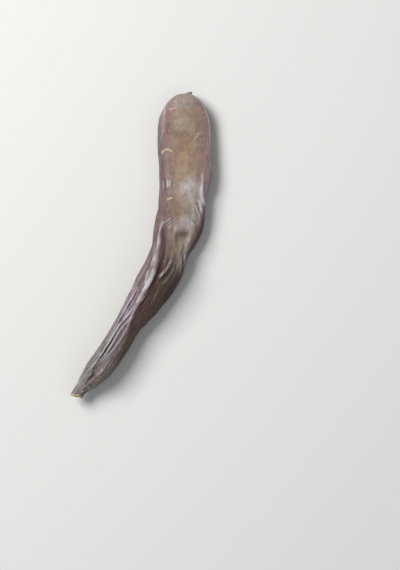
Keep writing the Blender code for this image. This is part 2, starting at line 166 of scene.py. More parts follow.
# Fine lines of the skin, written as the main folds are.
FINE_LINES = (
    (0.25, 0.5, ((31.6, -0.97), (30.8, -0.82), (31.2, -0.68), (31.8, -0.56))),
    (0.3, 0.5, ((49.4, -0.81), (51.5, -0.82), (54.5, -0.85))),
    (0.3, 0.5, ((49.4, -0.7), (51.5, -0.71), (54.0, -0.74))),
    (0.2, 0.5, ((49.5, -0.97), (52.0, -0.98), (56.0, -1.01))),
    (-0.25, 0.6, ((48.0, -0.9), (51.0, -0.91), (55.5, -0.94))),
    (0.3, 0.6, ((43.5, 0.62), (46.7, 0.66), (49.8, 0.7), (53.0, 0.76))),
    (0.55, 0.9, ((50.0, 0.72), (52.5, 0.78), (55.9, 0.82), (59.8, 0.89), (62.0, 0.94))),
    (0.25, 0.5, ((58.6, 0.68), (60.6, 0.73), (62.6, 0.77), (64.6, 0.85), (66.0, 0.92))),
    (0.25, 0.5, ((58.4, 0.6), (60.1, 0.66), (62.7, 0.74), (65.5, 0.84), (67.6, 0.92))),
    (0.25, 0.5, ((61.4, 0.5), (63.3, 0.57), (65.1, 0.65), (66.7, 0.74), (69.2, 0.84))),
    (-0.25, 0.45, ((59.0, 0.64), (60.9, 0.69), (63.0, 0.76), (65.4, 0.88))),
    (-0.25, 0.45, ((59.8, 0.54), (62.0, 0.62), (64.6, 0.71), (67.4, 0.83))),
    (-0.25, 0.5, ((63.0, 0.44), (65.6, 0.54), (67.8, 0.62), (70.0, 0.66))),
    (0.3, 0.45, ((70.2, 0.33), (71.1, 0.36), (71.9, 0.45), (71.4, 0.55), (70.0, 0.67))),
    (0.2, 0.5, ((77.2, -0.97), (76.2, -0.93), (73.9, -0.78), (71.4, -0.6))),
    (0.2, 0.5, ((77.8, -0.86), (76.8, -0.81), (73.9, -0.64), (70.8, -0.41))),
    (0.2, 0.5, ((78.4, -0.72), (77.2, -0.67), (74.4, -0.54), (71.2, -0.31))),
    (-0.25, 0.4, ((77.2, -0.9), (76.0, -0.84), (73.8, -0.71), (71.2, -0.51))),
    (-0.25, 0.4, ((77.8, -0.78), (76.4, -0.72), (74.2, -0.59), (71.0, -0.36))),
    (0.4, 0.45, ((74.5, -0.98), (78.2, -1.01), (81.3, -1.06), (84.0, -1.1), (92.0, -1.07))),
    (-0.2, 0.5, ((75.0, -0.88), (77.7, -0.93), (80.5, -0.94), (88.0, -0.97), (95.0, -0.95))),
    (-0.3, 0.8, ((92.0, -0.93), (99.6, -0.86), (108.0, -0.82), (120.0, -0.84), (130.0, -0.82))),
    (0.5, 0.6, ((88.5, 0.22), (90.4, 0.29), (93.7, 0.45), (96.2, 0.58), (98.0, 0.66))),
    (0.5, 0.5, ((87.0, 0.48), (89.1, 0.57), (92.1, 0.73), (94.8, 0.8), (97.0, 0.86))),
    (-0.45, 0.5, ((88.0, 0.4), (91.0, 0.5), (94.0, 0.62), (97.0, 0.72))),
    (0.5, 0.7, ((92.5, -0.29), (94.9, -0.34), (98.3, -0.44), (101.5, -0.58), (104.0, -0.69))),
    (-0.5, 0.5, ((92.0, -0.42), (96.0, -0.5), (99.0, -0.6), (103.0, -0.76))),
    (-0.5, 0.5, ((93.0, -0.2), (96.0, -0.27), (100.0, -0.38), (105.0, -0.56))),
    (0.4, 0.6, ((92.5, 0.0), (95.2, -0.04), (99.1, -0.07), (102.4, -0.16), (106.0, -0.28))),
    (-0.4, 0.5, ((93.0, 0.1), (97.0, 0.1), (102.0, 0.0), (108.0, -0.12))),
    (0.3, 0.8, ((104.0, -0.38), (109.0, -0.36), (114.0, -0.32), (120.0, -0.28))),
    (0.3, 0.5, ((102.6, -1.4), (104.7, -1.33), (107.7, -1.2), (110.6, -1.1))),
    (0.4, 0.5, ((98.0, -1.02), (105.0, -0.97), (111.0, -0.98), (117.0, -1.02), (121.0, -1.07))),
    (-0.35, 0.35, ((90.0, -1.42), (98.0, -1.5), (107.0, -1.5), (118.0, -1.56))),
    (-0.35, 0.35, ((104.0, -1.24), (109.0, -1.14), (116.0, -1.16), (123.0, -1.18))),
    (0.25, 0.35, ((96.0, -1.66), (106.0, -1.68), (118.0, -1.74), (128.0, -1.84))),
    (-0.6, 0.35, ((116.0, -1.44), (124.8, -1.47), (130.0, -1.54), (137.8, -1.6), (143.0, -1.68))),
    (-0.6, 0.35, ((140.0, -1.66), (145.5, -1.74), (150.0, -1.73), (157.0, -1.77))),
    (0.5, 0.35, ((114.0, -1.54), (123.0, -1.57), (130.0, -1.65), (137.0, -1.72), (152.0, -1.87))),
    (0.45, 0.35, ((116.0, -1.35), (124.8, -1.38), (130.0, -1.45), (136.5, -1.51), (146.0, -1.64))),
    (-0.25, 0.35, ((128.0, -0.97), (132.6, -1.06), (136.0, -1.24), (139.0, -1.37), (144.0, -1.44))),
    (-0.25, 0.35, ((142.0, -1.41), (146.9, -1.48), (151.3, -1.5), (155.8, -1.55), (161.0, -1.48))),
    (-0.45, 0.35, ((159.0, -1.52), (165.0, -1.48), (168.0, -1.3), (172.0, -1.24))),
    (0.5, 0.35, ((124.0, -1.1), (129.4, -1.16), (132.5, -1.3), (135.8, -1.43), (141.0, -1.54))),
    (0.5, 0.35, ((138.0, -1.49), (141.5, -1.55), (145.4, -1.62), (149.5, -1.66), (166.0, -1.62))),
    (-0.4, 0.3, ((131.0, -1.38), (136.0, -1.54), (144.0, -1.68), (154.0, -1.72), (164.0, -1.7))),
    (0.55, 0.4, ((121.5, -1.05), (126.9, -0.99), (129.6, -0.98), (131.7, -1.01), (134.5, -1.14))),
    (0.5, 0.4, ((132.4, -1.05), (136.9, -1.2), (139.9, -1.27), (147.6, -1.34), (157.3, -1.42))),
    (0.4, 0.4, ((131.8, -0.95), (135.8, -0.88), (143.0, -0.98), (150.3, -1.11), (158.5, -1.17))),
    (-0.35, 0.4, ((133.0, -1.0), (138.0, -1.08), (146.0, -1.18), (156.0, -1.28))),
    (-0.5, 0.6, ((160.0, -1.22), (164.1, -1.27), (167.6, -1.24), (171.1, -1.19), (176.0, -1.22))),
    (0.3, 0.5, ((160.0, -0.92), (166.0, -0.98), (172.0, -1.05), (177.0, -1.0))),
    (0.3, 0.5, ((154.0, -1.8), (162.0, -1.82), (170.0, -1.78), (178.0, -1.78))),
    (-0.3, 0.4, ((156.0, -1.88), (164.0, -1.92), (173.0, -1.88), (179.0, -1.86))),
    (-0.3, 0.4, ((166.0, -1.6), (172.0, -1.56), (179.0, -1.5))),
    (0.25, 0.4, ((168.0, -1.44), (174.0, -1.4), (180.0, -1.34))),
    (0.25, 0.6, ((10.0, 2.9), (26.0, 2.75), (44.0, 2.85), (60.0, 2.7))),
    (-0.25, 0.5, ((20.0, -2.4), (38.0, -2.5), (52.0, -2.35), (66.0, -2.5))),
    (-0.35, 0.6, ((82.0, 2.7), (94.0, 2.8), (108.0, 2.7), (124.0, 2.85))),
    (0.3, 0.6, ((84.0, -2.75), (98.0, -2.85), (116.0, -2.7), (134.0, -2.85))),
    (-0.35, 0.5, ((90.0, 1.62), (112.0, 1.7), (134.0, 1.64), (158.0, 1.72))),
)

# Uneven wrinkles and finer puckers: their height, and how long, wide and deep one is. The broad
# part is smoother by these shares, on its upper face and on the rest of it.
WRINKLE_HEIGHT = 0.34
WRINKLE_SIZE = (17.0, 1.9, 1.9)
PUCKER_HEIGHT = 0.1
PUCKER_SIZE = (2.6, 1.5, 1.5)
UPPER_FACE_ENDS = (0.6, 1.1)
BROAD_PART_ENDS = (82.0, 104.0)
SMOOTHER_UPPER = 0.96
SMOOTHER_REST = 0.5
NOISE_CELLS = 48
NOISE_SEED = 11

# Where the tones of the skin begin or end, each from none to all of it. The first five are
# places round the pod, and the others are distances from the beak.
EDGE_STARTS = (0.88, 1.02)
MARGIN_STARTS = (0.76, 1.02)
MARGIN_ENDS = (1.95, 2.15)
OUTSIDE_RIM = (1.0, 1.08)
OLIVE_FADES = (0.25, 0.85)
GREY_TIP_ENDS = (2.0, 13.0)
GREY_RIM_STARTS = (6.0, 12.0)
GREY_RIM_ENDS = (28.0, 40.0)
SHADE_STARTS = (6.0, 28.0)
SHADE_LESS = (96.0, 118.0)
BROWN_AND_SHADE_STARTS = (84.0, 104.0)
LILAC_AND_LIGHT_STARTS = (98.0, 126.0)
GREEN_STARTS = (132.0, 168.0)
OLIVE_ENDS = (150.0, 176.0)

# Patches of a tone: (strength, distance from the beak, place round, half length, half width), the
# last two in millimetres. Streaks of a tone are written as the folds are, with their strength.
# First the grey waxy bloom, which also holds painted sheen and painted highlights on the folds and
# ridges.
BLOOM_AND_SHEEN_PATCHES = (
    (0.5, 53.5, 0.12, 6.5, 7.0),
    (0.4, 50.5, 0.22, 4.0, 3.5),
    (0.3, 51.5, -0.22, 3.5, 4.0),
    (0.12, 61.0, 0.1, 7.0, 6.0),
    (0.3, 62.0, 0.5, 9.0, 3.5),
    (0.6, 67.3, 0.47, 3.0, 2.4),
    (0.75, 70.4, 0.0, 2.2, 4.0),
    (0.85, 73.6, 0.0, 2.0, 4.5),
    (0.5, 76.5, -0.3, 2.0, 3.0),
    (0.4, 82.0, 0.42, 7.0, 2.0),
    (0.35, 90.5, 0.25, 7.0, 3.5),
    (0.3, 17.0, -0.2, 4.0, 5.0),
    (0.25, 3.0, -0.3, 4.0, 7.0),
    (1.3, 86.4, -1.22, 3.0, 1.3),
    (1.4, 95.4, -1.34, 4.2, 1.3),
    (0.2, 84.0, -0.4, 9.0, 4.5),
    (0.3, 86.0, 0.6, 6.0, 2.0),
    (0.25, 80.5, 0.2, 3.5, 3.5),
    (0.35, 91.0, 0.42, 4.5, 2.6),
    (0.4, 107.0, -1.2, 5.0, 1.3),
    (0.4, 60.0, 2.8, 22.0, 8.0),
)
BLOOM_AND_SHEEN_STREAKS = (
    (0.9, 0.5, ((49.6, -0.81), (51.5, -0.82), (54.0, -0.84))),
    (0.9, 0.5, ((49.6, -0.7), (51.5, -0.71), (53.6, -0.73))),
    (0.5, 0.4, ((50.0, -0.97), (52.0, -0.98), (55.0, -1.0))),
    (0.6, 0.6, ((43.5, 0.62), (46.7, 0.66), (49.8, 0.7), (53.0, 0.76))),
    (1.0, 1.5, ((48.5, 0.68), (52.5, 0.76), (55.9, 0.8), (59.8, 0.86), (62.0, 0.9))),
    (0.6, 0.6, ((58.8, 0.68), (60.6, 0.73), (62.6, 0.77), (64.6, 0.84))),
    (0.5, 0.6, ((58.6, 0.61), (60.1, 0.66), (62.7, 0.74), (65.5, 0.84))),
    (0.5, 0.6, ((61.6, 0.5), (63.3, 0.57), (65.1, 0.65), (66.7, 0.74))),
    (0.9, 0.5, ((70.2, 0.33), (71.1, 0.36), (71.9, 0.45), (71.4, 0.55), (70.1, 0.67))),
    (0.65, 0.5, ((77.2, -0.97), (76.2, -0.93), (73.9, -0.78), (71.4, -0.6))),
    (0.6, 0.5, ((77.8, -0.86), (76.8, -0.81), (73.9, -0.64), (70.8, -0.41))),
    (0.4, 0.5, ((78.4, -0.72), (77.2, -0.67), (74.4, -0.54), (71.2, -0.31))),
    (0.7, 0.5, ((75.0, -0.97), (78.2, -1.01), (81.3, -1.06), (83.7, -1.15), (86.0, -1.25))),
    (0.7, 0.5, ((102.6, -1.4), (104.7, -1.33), (107.7, -1.2), (110.6, -1.1))),
    (0.35, 1.0, ((83.0, -1.14), (88.0, -1.2), (93.0, -1.2), (99.0, -1.12), (104.6, -1.03))),
    (0.9, 1.2, ((101.0, -1.06), (105.0, -1.01), (112.0, -1.02), (117.0, -1.04), (121.0, -1.08))),
    (0.6, 0.6, ((88.5, 0.22), (90.4, 0.29), (93.7, 0.45), (96.2, 0.58), (98.0, 0.66))),
    (0.8, 0.5, ((87.0, 0.48), (89.1, 0.57), (92.1, 0.73), (94.8, 0.8), (97.0, 0.86))),
    (0.6, 0.7, ((92.5, -0.29), (94.9, -0.34), (98.3, -0.44), (101.5, -0.58), (104.0, -0.69))),
    (0.35, 0.6, ((92.5, 0.0), (95.2, -0.04), (99.1, -0.07), (102.4, -0.16), (106.0, -0.28))),
    (1.1, 0.45, ((124.0, -1.1), (129.4, -1.16), (132.5, -1.3), (135.8, -1.43), (141.0, -1.54))),
    (1.1, 0.45, ((138.0, -1.49), (141.5, -1.55), (145.4, -1.62), (149.5, -1.66), (166.0, -1.62))),
    (1.1, 0.4, ((114.0, -1.54), (123.0, -1.57), (130.0, -1.65), (137.0, -1.72), (152.0, -1.87))),
    (0.9, 0.45, ((121.5, -1.05), (126.9, -0.99), (129.6, -0.98), (131.7, -1.01), (134.5, -1.14))),
    (1.0, 0.45, ((132.4, -1.05), (136.9, -1.2), (139.9, -1.27), (147.6, -1.34), (157.3, -1.42))),
    (0.5, 0.5, ((131.8, -0.95), (135.8, -0.88), (143.0, -0.98), (150.3, -1.11), (158.5, -1.17))),
    (0.6, 0.5, ((166.0, -2.1), (175.3, -2.1), (178.1, -1.98), (181.0, -1.84))),
    (0.35, 1.6, ((154.0, -1.74), (165.0, -1.74), (172.0, -1.7), (180.0, -1.5))),
    (0.3, 2.0, ((154.0, -0.52), (163.0, -0.55), (170.0, -0.45), (180.0, -0.2))),
    (0.22, 2.2, ((6.0, 1.0), (18.0, 1.0), (34.0, 1.02), (48.0, 1.04), (66.0, 1.06))),
    (0.6, 0.4, ((26.4, 0.35), (25.3, 0.36), (23.6, 0.42), (22.3, 0.5), (21.2, 0.62))),
)

# The redder skin near the rims and beside the folds.
RED_PATCHES = (
    (0.7, 22.5, -0.84, 6.5, 2.6),
    (0.35, 12.0, -0.8, 5.0, 3.0),
    (0.3, 23.5, -0.15, 3.0, 4.0),
    (0.4, 78.3, 0.1, 3.0, 4.5),
    (0.2, 45.0, 0.9, 22.0, 3.0),
    (0.9, 144.0, -1.08, 12.0, 1.6),
    (0.8, 102.0, -1.5, 5.0, 2.4),
    (0.5, 88.0, 1.0, 7.0, 2.2),
    (0.6, 84.0, -1.5, 10.0, 2.0),
)
RED_STREAKS = (
    (0.65, 1.2, ((33.0, -0.92), (46.0, -0.93), (58.0, -0.92), (70.0, -0.93), (76.0, -1.0))),
    (0.6, 0.7, ((78.0, -1.3), (90.0, -1.45), (104.0, -1.44), (116.0, -1.34), (126.0, -1.26))),
    (0.6, 0.6, ((96.0, -1.02), (104.0, -0.98), (112.0, -0.98), (120.0, -1.0))),
    (0.75, 1.3, ((82.0, -0.88), (88.0, -0.88), (92.0, -0.86), (97.0, -0.81), (104.0, -0.76))),
    (0.9, 1.6, ((99.0, -0.78), (103.0, -0.75), (111.0, -0.73), (119.0, -0.77), (130.0, -0.82))),
    (1.0, 0.9, ((160.0, -1.24), (165.0, -1.22), (170.0, -1.19), (176.0, -1.1))),
    (1.9, 2.4, ((62.0, 1.12), (69.0, 1.02), (76.0, 0.96), (80.0, 0.9), (86.0, 0.95), (94.0, 1.1))),
)

# Painted shade: on the right side of the stalk end, on the left of the broad part, in the dent and
# along the grooves.
SHADE_PATCHES = (
    (0.6, 82.0, 0.98, 12.0, 2.2),
    (0.85, 104.0, 0.72, 11.0, 3.5),
    (0.7, 122.0, 0.6, 16.0, 4.0),
    (0.3, 77.5, 0.0, 1.8, 4.5),
    (0.3, 56.0, -0.82, 2.6, 1.4),
    (0.3, 61.0, -0.58, 7.0, 4.0),
    (0.25, 48.5, -0.5, 5.0, 3.0),
    (0.2, 69.5, -0.45, 3.0, 3.5),
    (0.35, 90.0, -0.7, 9.0, 1.8),
)
SHADE_STREAKS = (
    (
        0.85,
        2.4,
        ((63.0, 1.12), (69.0, 1.04), (76.0, 0.98), (81.0, 0.93), (87.0, 0.96), (93.0, 1.05)),
    ),
    (0.5, 0.8, ((78.0, -0.93), (81.1, -0.97), (84.7, -0.94), (89.3, -0.88), (94.4, -0.79))),
    (0.55, 1.3, ((92.0, -0.92), (99.6, -0.84), (108.0, -0.78), (122.0, -0.82), (136.0, -0.8))),
    (0.5, 0.5, ((49.0, -0.9), (52.0, -0.91), (56.0, -0.94))),
    (0.35, 0.4, ((77.2, -0.9), (76.0, -0.84), (73.8, -0.71), (71.2, -0.51))),
    (0.35, 0.4, ((77.8, -0.78), (76.4, -0.72), (74.2, -0.59), (71.0, -0.36))),
    (0.7, 0.35, ((116.0, -1.44), (124.8, -1.47), (130.0, -1.54), (137.8, -1.6), (143.0, -1.68))),
    (0.7, 0.35, ((140.0, -1.66), (145.5, -1.74), (150.0, -1.73), (157.0, -1.77))),
    (0.5, 0.3, ((128.0, -0.97), (132.6, -1.06), (136.0, -1.24), (139.0, -1.37), (144.0, -1.44))),
    (0.5, 0.3, ((142.0, -1.41), (146.9, -1.48), (151.3, -1.5), (155.8, -1.55), (161.0, -1.48))),
    (0.6, 0.3, ((159.0, -1.52), (165.0, -1.48), (168.0, -1.3), (172.0, -1.24))),
)

# Pale lines along the rims of the broad part; the line along the right rim is a painted highlight.
RIM_LINES = (
    (0.65, 0.35, ((1.0, -1.3), (4.0, -1.15), (7.0, -1.06), (10.0, -0.99), (13.0, -0.95))),
    (0.4, 0.3, ((9.0, -1.0), (12.0, -0.96), (17.0, -0.93), (21.5, -0.95), (27.0, -0.99))),
    (1.0, 0.35, ((1.0, 1.15), (4.0, 1.07), (8.0, 1.01), (13.0, 0.98), (20.0, 0.98), (28.0, 0.99))),
    (0.4, 0.35, ((20.0, 0.98), (28.0, 0.99), (36.0, 0.99), (44.0, 1.0))),
)

# Pale scars and specks.
CREAM_STREAKS = (
    (
        1.15,
        0.42,
        ((32.9, -1.0), (31.8, -0.93), (31.2, -0.84), (31.2, -0.74), (31.5, -0.64), (32.1, -0.52)),
    ),
    (1.0, 0.35, ((8.9, -0.86), (8.6, -0.68), (8.3, -0.46))),
    (0.9, 0.4, ((60.0, -0.86), (59.6, -0.78), (59.4, -0.7))),
    (0.7, 0.3, ((113.0, -1.56), (114.6, -1.66), (117.1, -1.84))),
)
CREAM_SPOTS = (
    (1.2, 59.0, -0.66, 0.7, 0.9),
    (1.4, 120.6, -1.09, 1.3, 0.7),
    (0.8, 163.0, -1.02, 0.7, 0.6),
    (0.7, 163.9, -1.76, 0.6, 0.6),
    (0.9, 179.7, -0.8, 0.8, 0.9),
)


def spline(knots, values, at):
    """A natural cubic spline through the values, which has no kinks in its bend."""
    gaps = np.diff(knots)
    slopes = np.diff(values, axis=0) / gaps[:, None]
    count = len(knots)
    system = np.eye(count)
    wanted = np.zeros((count, values.shape[1]))
    for i in range(1, count - 1):
        system[i, i - 1 : i + 2] = gaps[i - 1], 2 * (gaps[i - 1] + gaps[i]), gaps[i]
        wanted[i] = 6 * (slopes[i] - slopes[i - 1])
    bends = np.linalg.solve(system, wanted)
    i = np.clip(np.searchsorted(knots, at) - 1, 0, count - 2)
    h = gaps[i][:, None]
    before = (knots[i + 1] - at)[:, None] / h
    after = 1 - before
    curved = (before**3 - before) * bends[i] + (after**3 - after) * bends[i + 1]
    return before * values[i] + after * values[i + 1] + curved * h * h / 6


def steady_curve(knots, values, at):
    """A smooth curve through the values that never passes beyond them."""
    gaps = np.diff(knots)
    slopes = np.diff(values) / gaps
    both = slopes[:-1] * slopes[1:]
    total = np.where(both > 0, slopes[:-1] + slopes[1:], 1)
    inner = np.where(both > 0, 2 * both / total, 0)
    tilt = np.concatenate([slopes[:1], inner, slopes[-1:]])
    i = np.clip(np.searchsorted(knots, at) - 1, 0, len(knots) - 2)
    h, t = gaps[i], (at - knots[i]) / gaps[i]
    first = (1 + 2 * t) * (1 - t) ** 2 * values[i] + t * (1 - t) ** 2 * h * tilt[i]
    return first + t * t * (3 - 2 * t) * values[i + 1] + t * t * (t - 1) * h * tilt[i + 1]


class Spine:
    """The line along the pod's middle, with its sizes and the axes of each section."""

    def __init__(self, stations):
        table = np.array(stations)
        steps = np.linalg.norm(np.diff(table[:, :3], axis=0), axis=1)
        self.knots = np.concatenate([[0], np.cumsum(steps)])
        self.table = table
        self.length = self.knots[-1]

    def place(self, along):
        return spline(self.knots, self.table[:, :3], along)

    def size(self, column, along):
        """A half size. Its square is what varies evenly, so that the ends close round."""
        squares = steady_curve(self.knots, self.table[:, column] ** 2, along)
        return np.sqrt(np.maximum(squares, 0))

    def width(self, along):
        return self.size(3, along)

    def thickness(self, along):
        return self.size(4, along)

    def axes(self, along):
        """(towards the right margin, towards the upper face) of each section."""
        step = 0.5
        ahead = self.place(np.minimum(along + step, self.length))
        behind = self.place(np.maximum(along - step, 0))
        way = ahead - behind
        way /= np.linalg.norm(way, axis=1)[:, None]
        right = np.cross([0, 0, 1.0], way)
        right /= np.linalg.norm(right, axis=1)[:, None]
        lift = np.cross(way, right)
        turn = np.radians(spline(self.knots, self.table[:, 5:6], along))
        return (
            np.cos(turn) * right - np.sin(turn) * lift,
            np.cos(turn) * lift + np.sin(turn) * right,
        )


def closer(closeness, gap):
    """How much closer the rings are at this gap from an end."""
    extra, reach = closeness
    return extra * np.exp(-gap / reach)


def ring_places(spine, rings):
    """(distance along the spine, share of the section's size) of each ring. The last ones close
    the end where the stalk was."""
    steps = np.linspace(0, 1, SPINE_STEPS)
    open_part = spine.length * steps**2 * (3 - 2 * steps)
    along = np.concatenate([open_part, np.full(CLOSING_STEPS, spine.length)])
    share = np.concatenate([np.ones(SPINE_STEPS), np.linspace(1, 0, CLOSING_STEPS)])
    reach = spine.width(along) * share
    out = np.hypot(np.diff(along), np.diff(reach))
    from_ends = np.minimum(along, spine.length - along + STALK_MARGIN)[1:]
    density = 1 + closer(CLOSER_AT_ENDS, from_ends) + closer(CLOSER_AT_BEAK, along[1:])
    total = np.concatenate([[0], np.cumsum(out * density)])
    wanted = np.linspace(0, total[-1], rings + 1)
    return np.interp(wanted, total, along), np.interp(wanted, total, share)


def section_rows(sides):
    """For each point round a section: (sign across, sign through, row in its quarter)."""
    quarter = sides // 4
    rows = []
    for i in range(sides):
        part, k = divmod(i, quarter)
        k = k if part % 2 == 0 else quarter - k
        rows.append((1 if part in (0, 3) else -1, 1 if part in (0, 1) else -1, k))
    return np.array(rows)


def sections(width, thickness, sides, edge_rows):
    """Points (across, through) of each section, from the right seam over the upper face to the
    left seam and back under, and their place round the pod: 0 is the middle of the upper face, 1
    the right rim, 1.5 the right seam and 2 the lower rim, and the left side is negative."""
    rows = section_rows(sides)
    quarter = sides // 4
    k = rows[:, 2]
    on_edge = k <= edge_rows
    squareness = np.clip(width / MARGIN_BULGE, 2.0, 10.0)[:, None]
    edge_part = np.where(on_edge, k / edge_rows, 1) * RIM_AT
    face_part = np.where(on_edge, 1, (quarter - k) / (quarter - edge_rows))
    rim_across = (1 - RIM_AT**2) ** (1 / squareness)
    across = np.where(on_edge, (1 - edge_part**2) ** (1 / squareness), rim_across * face_part)
    through = np.where(on_edge, edge_part, np.sqrt(1 - across**squareness))
    crown = CROWN * np.minimum(thickness / 5, 1)[:, None] * (1 - across**2) ** 2
    points = np.stack(
        [
            rows[:, 0] * across * width[:, None],
            rows[:, 1] * (through * thickness[:, None] + crown),
        ],
        axis=2,
    )
    inward = np.where(on_edge, 1.5 - 0.5 * k / edge_rows, (quarter - k) / (quarter - edge_rows))
    round_place = rows[:, 0] * np.where(rows[:, 1] > 0, inward, 3 - inward)
    return points, round_place


def skin_distance(around, width, thickness):
    """How far round the skin each place is from the middle of the upper face."""
    face = FACE_GIRTH * width[:, None]
    edge = MARGIN_GIRTH * thickness[:, None]
    out = np.abs(around)
    on_edge = face + (out - 1) * edge
    under = face + edge + (out - 2) * face
    return np.sign(around) * np.where(out < 1, out * face, np.where(out < 2, on_edge, under))


def fold_shape(spine, along, skin, girth, fold):
    """The height of one fold, which fades out at both its ends."""
    height, half_width, points = fold
    at = np.array(points)
    widths, depths = spine.width(at[:, 0]), spine.thickness(at[:, 0])
    side = np.diag(skin_distance(at[:, 1], widths, depths))
    steps = np.hypot(np.diff(at[:, 0]), np.diff(side))
    passed = np.concatenate([[0], np.cumsum(steps)]) / steps.sum()
    nearest = np.full(skin.shape, np.inf)
    share = np.zeros(skin.shape)
    for i in range(len(points) - 1):
        run, rise = at[i + 1, 0] - at[i, 0], side[i + 1] - side[i]
        ahead = along[:, None] - at[i, 0]
        beside = (skin - side[i] + girth / 2) % girth - girth / 2
        part = np.clip((ahead * run + beside * rise) / (run * run + rise * rise), 0, 1)
        gap = np.hypot(ahead - part * run, beside - part * rise)
        closer = gap < nearest
        nearest = np.where(closer, gap, nearest)
        share = np.where(closer, passed[i] + part * (passed[i + 1] - passed[i]), share)
    fade = np.clip(5 * np.minimum(share, 1 - share), 0, 1)
    return height * np.exp(-((nearest / half_width) ** 2)) * fade * (2 - fade)


def swells(places):
    """The slow, uneven rise and fall of a dried skin, from -1 to 1."""
    x, y, z = np.moveaxis(places, 2, 0)
    first = np.sin(x / 5.1 + y / 9.3)
    second = np.sin(y / 5.7 - z / 4.1 + 2.0)
    third = np.sin(x / 3.7 - y / 8.1 + z / 4.7 + 4.0)
    return (first + second + third) / 3


def outward(places):
    """The direction straight out of the skin at each point."""
    around_it = np.roll(places, -1, axis=1) - np.roll(places, 1, axis=1)
    along_it = np.gradient(places, axis=0)
    out = np.cross(around_it, along_it)
    return out / np.maximum(np.linalg.norm(out, axis=2), 1e-9)[:, :, None]


def beak(places):
    """Draws the skin round the tip out into a small hooked point."""
    gap = np.linalg.norm(places - BEAK_FOOT, axis=2) / BEAK_RADIUS
    drawn = np.exp(-(gap**3))[:, :, None]
    return drawn * BEAK_RISE + drawn**3 * BEAK_BEND


def slanted_cut(spine, along, places, way):
    """Draws the left side of the stalk end out, because the stalk broke off at a slant."""
    left_of_middle = (spine.place(along)[:, None] - places)[:, :, 0]
    from_end = (spine.length - along)[:, None]
    draw = CUT_SLANT * (left_of_middle + CUT_KEPT) * np.exp(-((from_end / CUT_REACH) ** 2))
    return draw[:, :, None] * way[:, None]


def noise(places, table):
    """Smooth random values from -1 to 1, one new value every unit of length."""
    cell = np.floor(places).astype(int)
    part = places - cell
    part = part * part * (3 - 2 * part)
    total = np.zeros(places.shape[:-1])
    for corner in np.ndindex(2, 2, 2):
        share = np.prod(np.where(corner, part, 1 - part), axis=-1)
        i, j, k = np.moveaxis((cell + corner) % NOISE_CELLS, -1, 0)
        total += share * table[i, j, k]
    return total


def step_up(value, low, high):
    """0 below low, 1 above high, and a smooth rise between."""
    part = np.clip((value - low) / (high - low), 0, 1)
    return part * part * (3 - 2 * part)


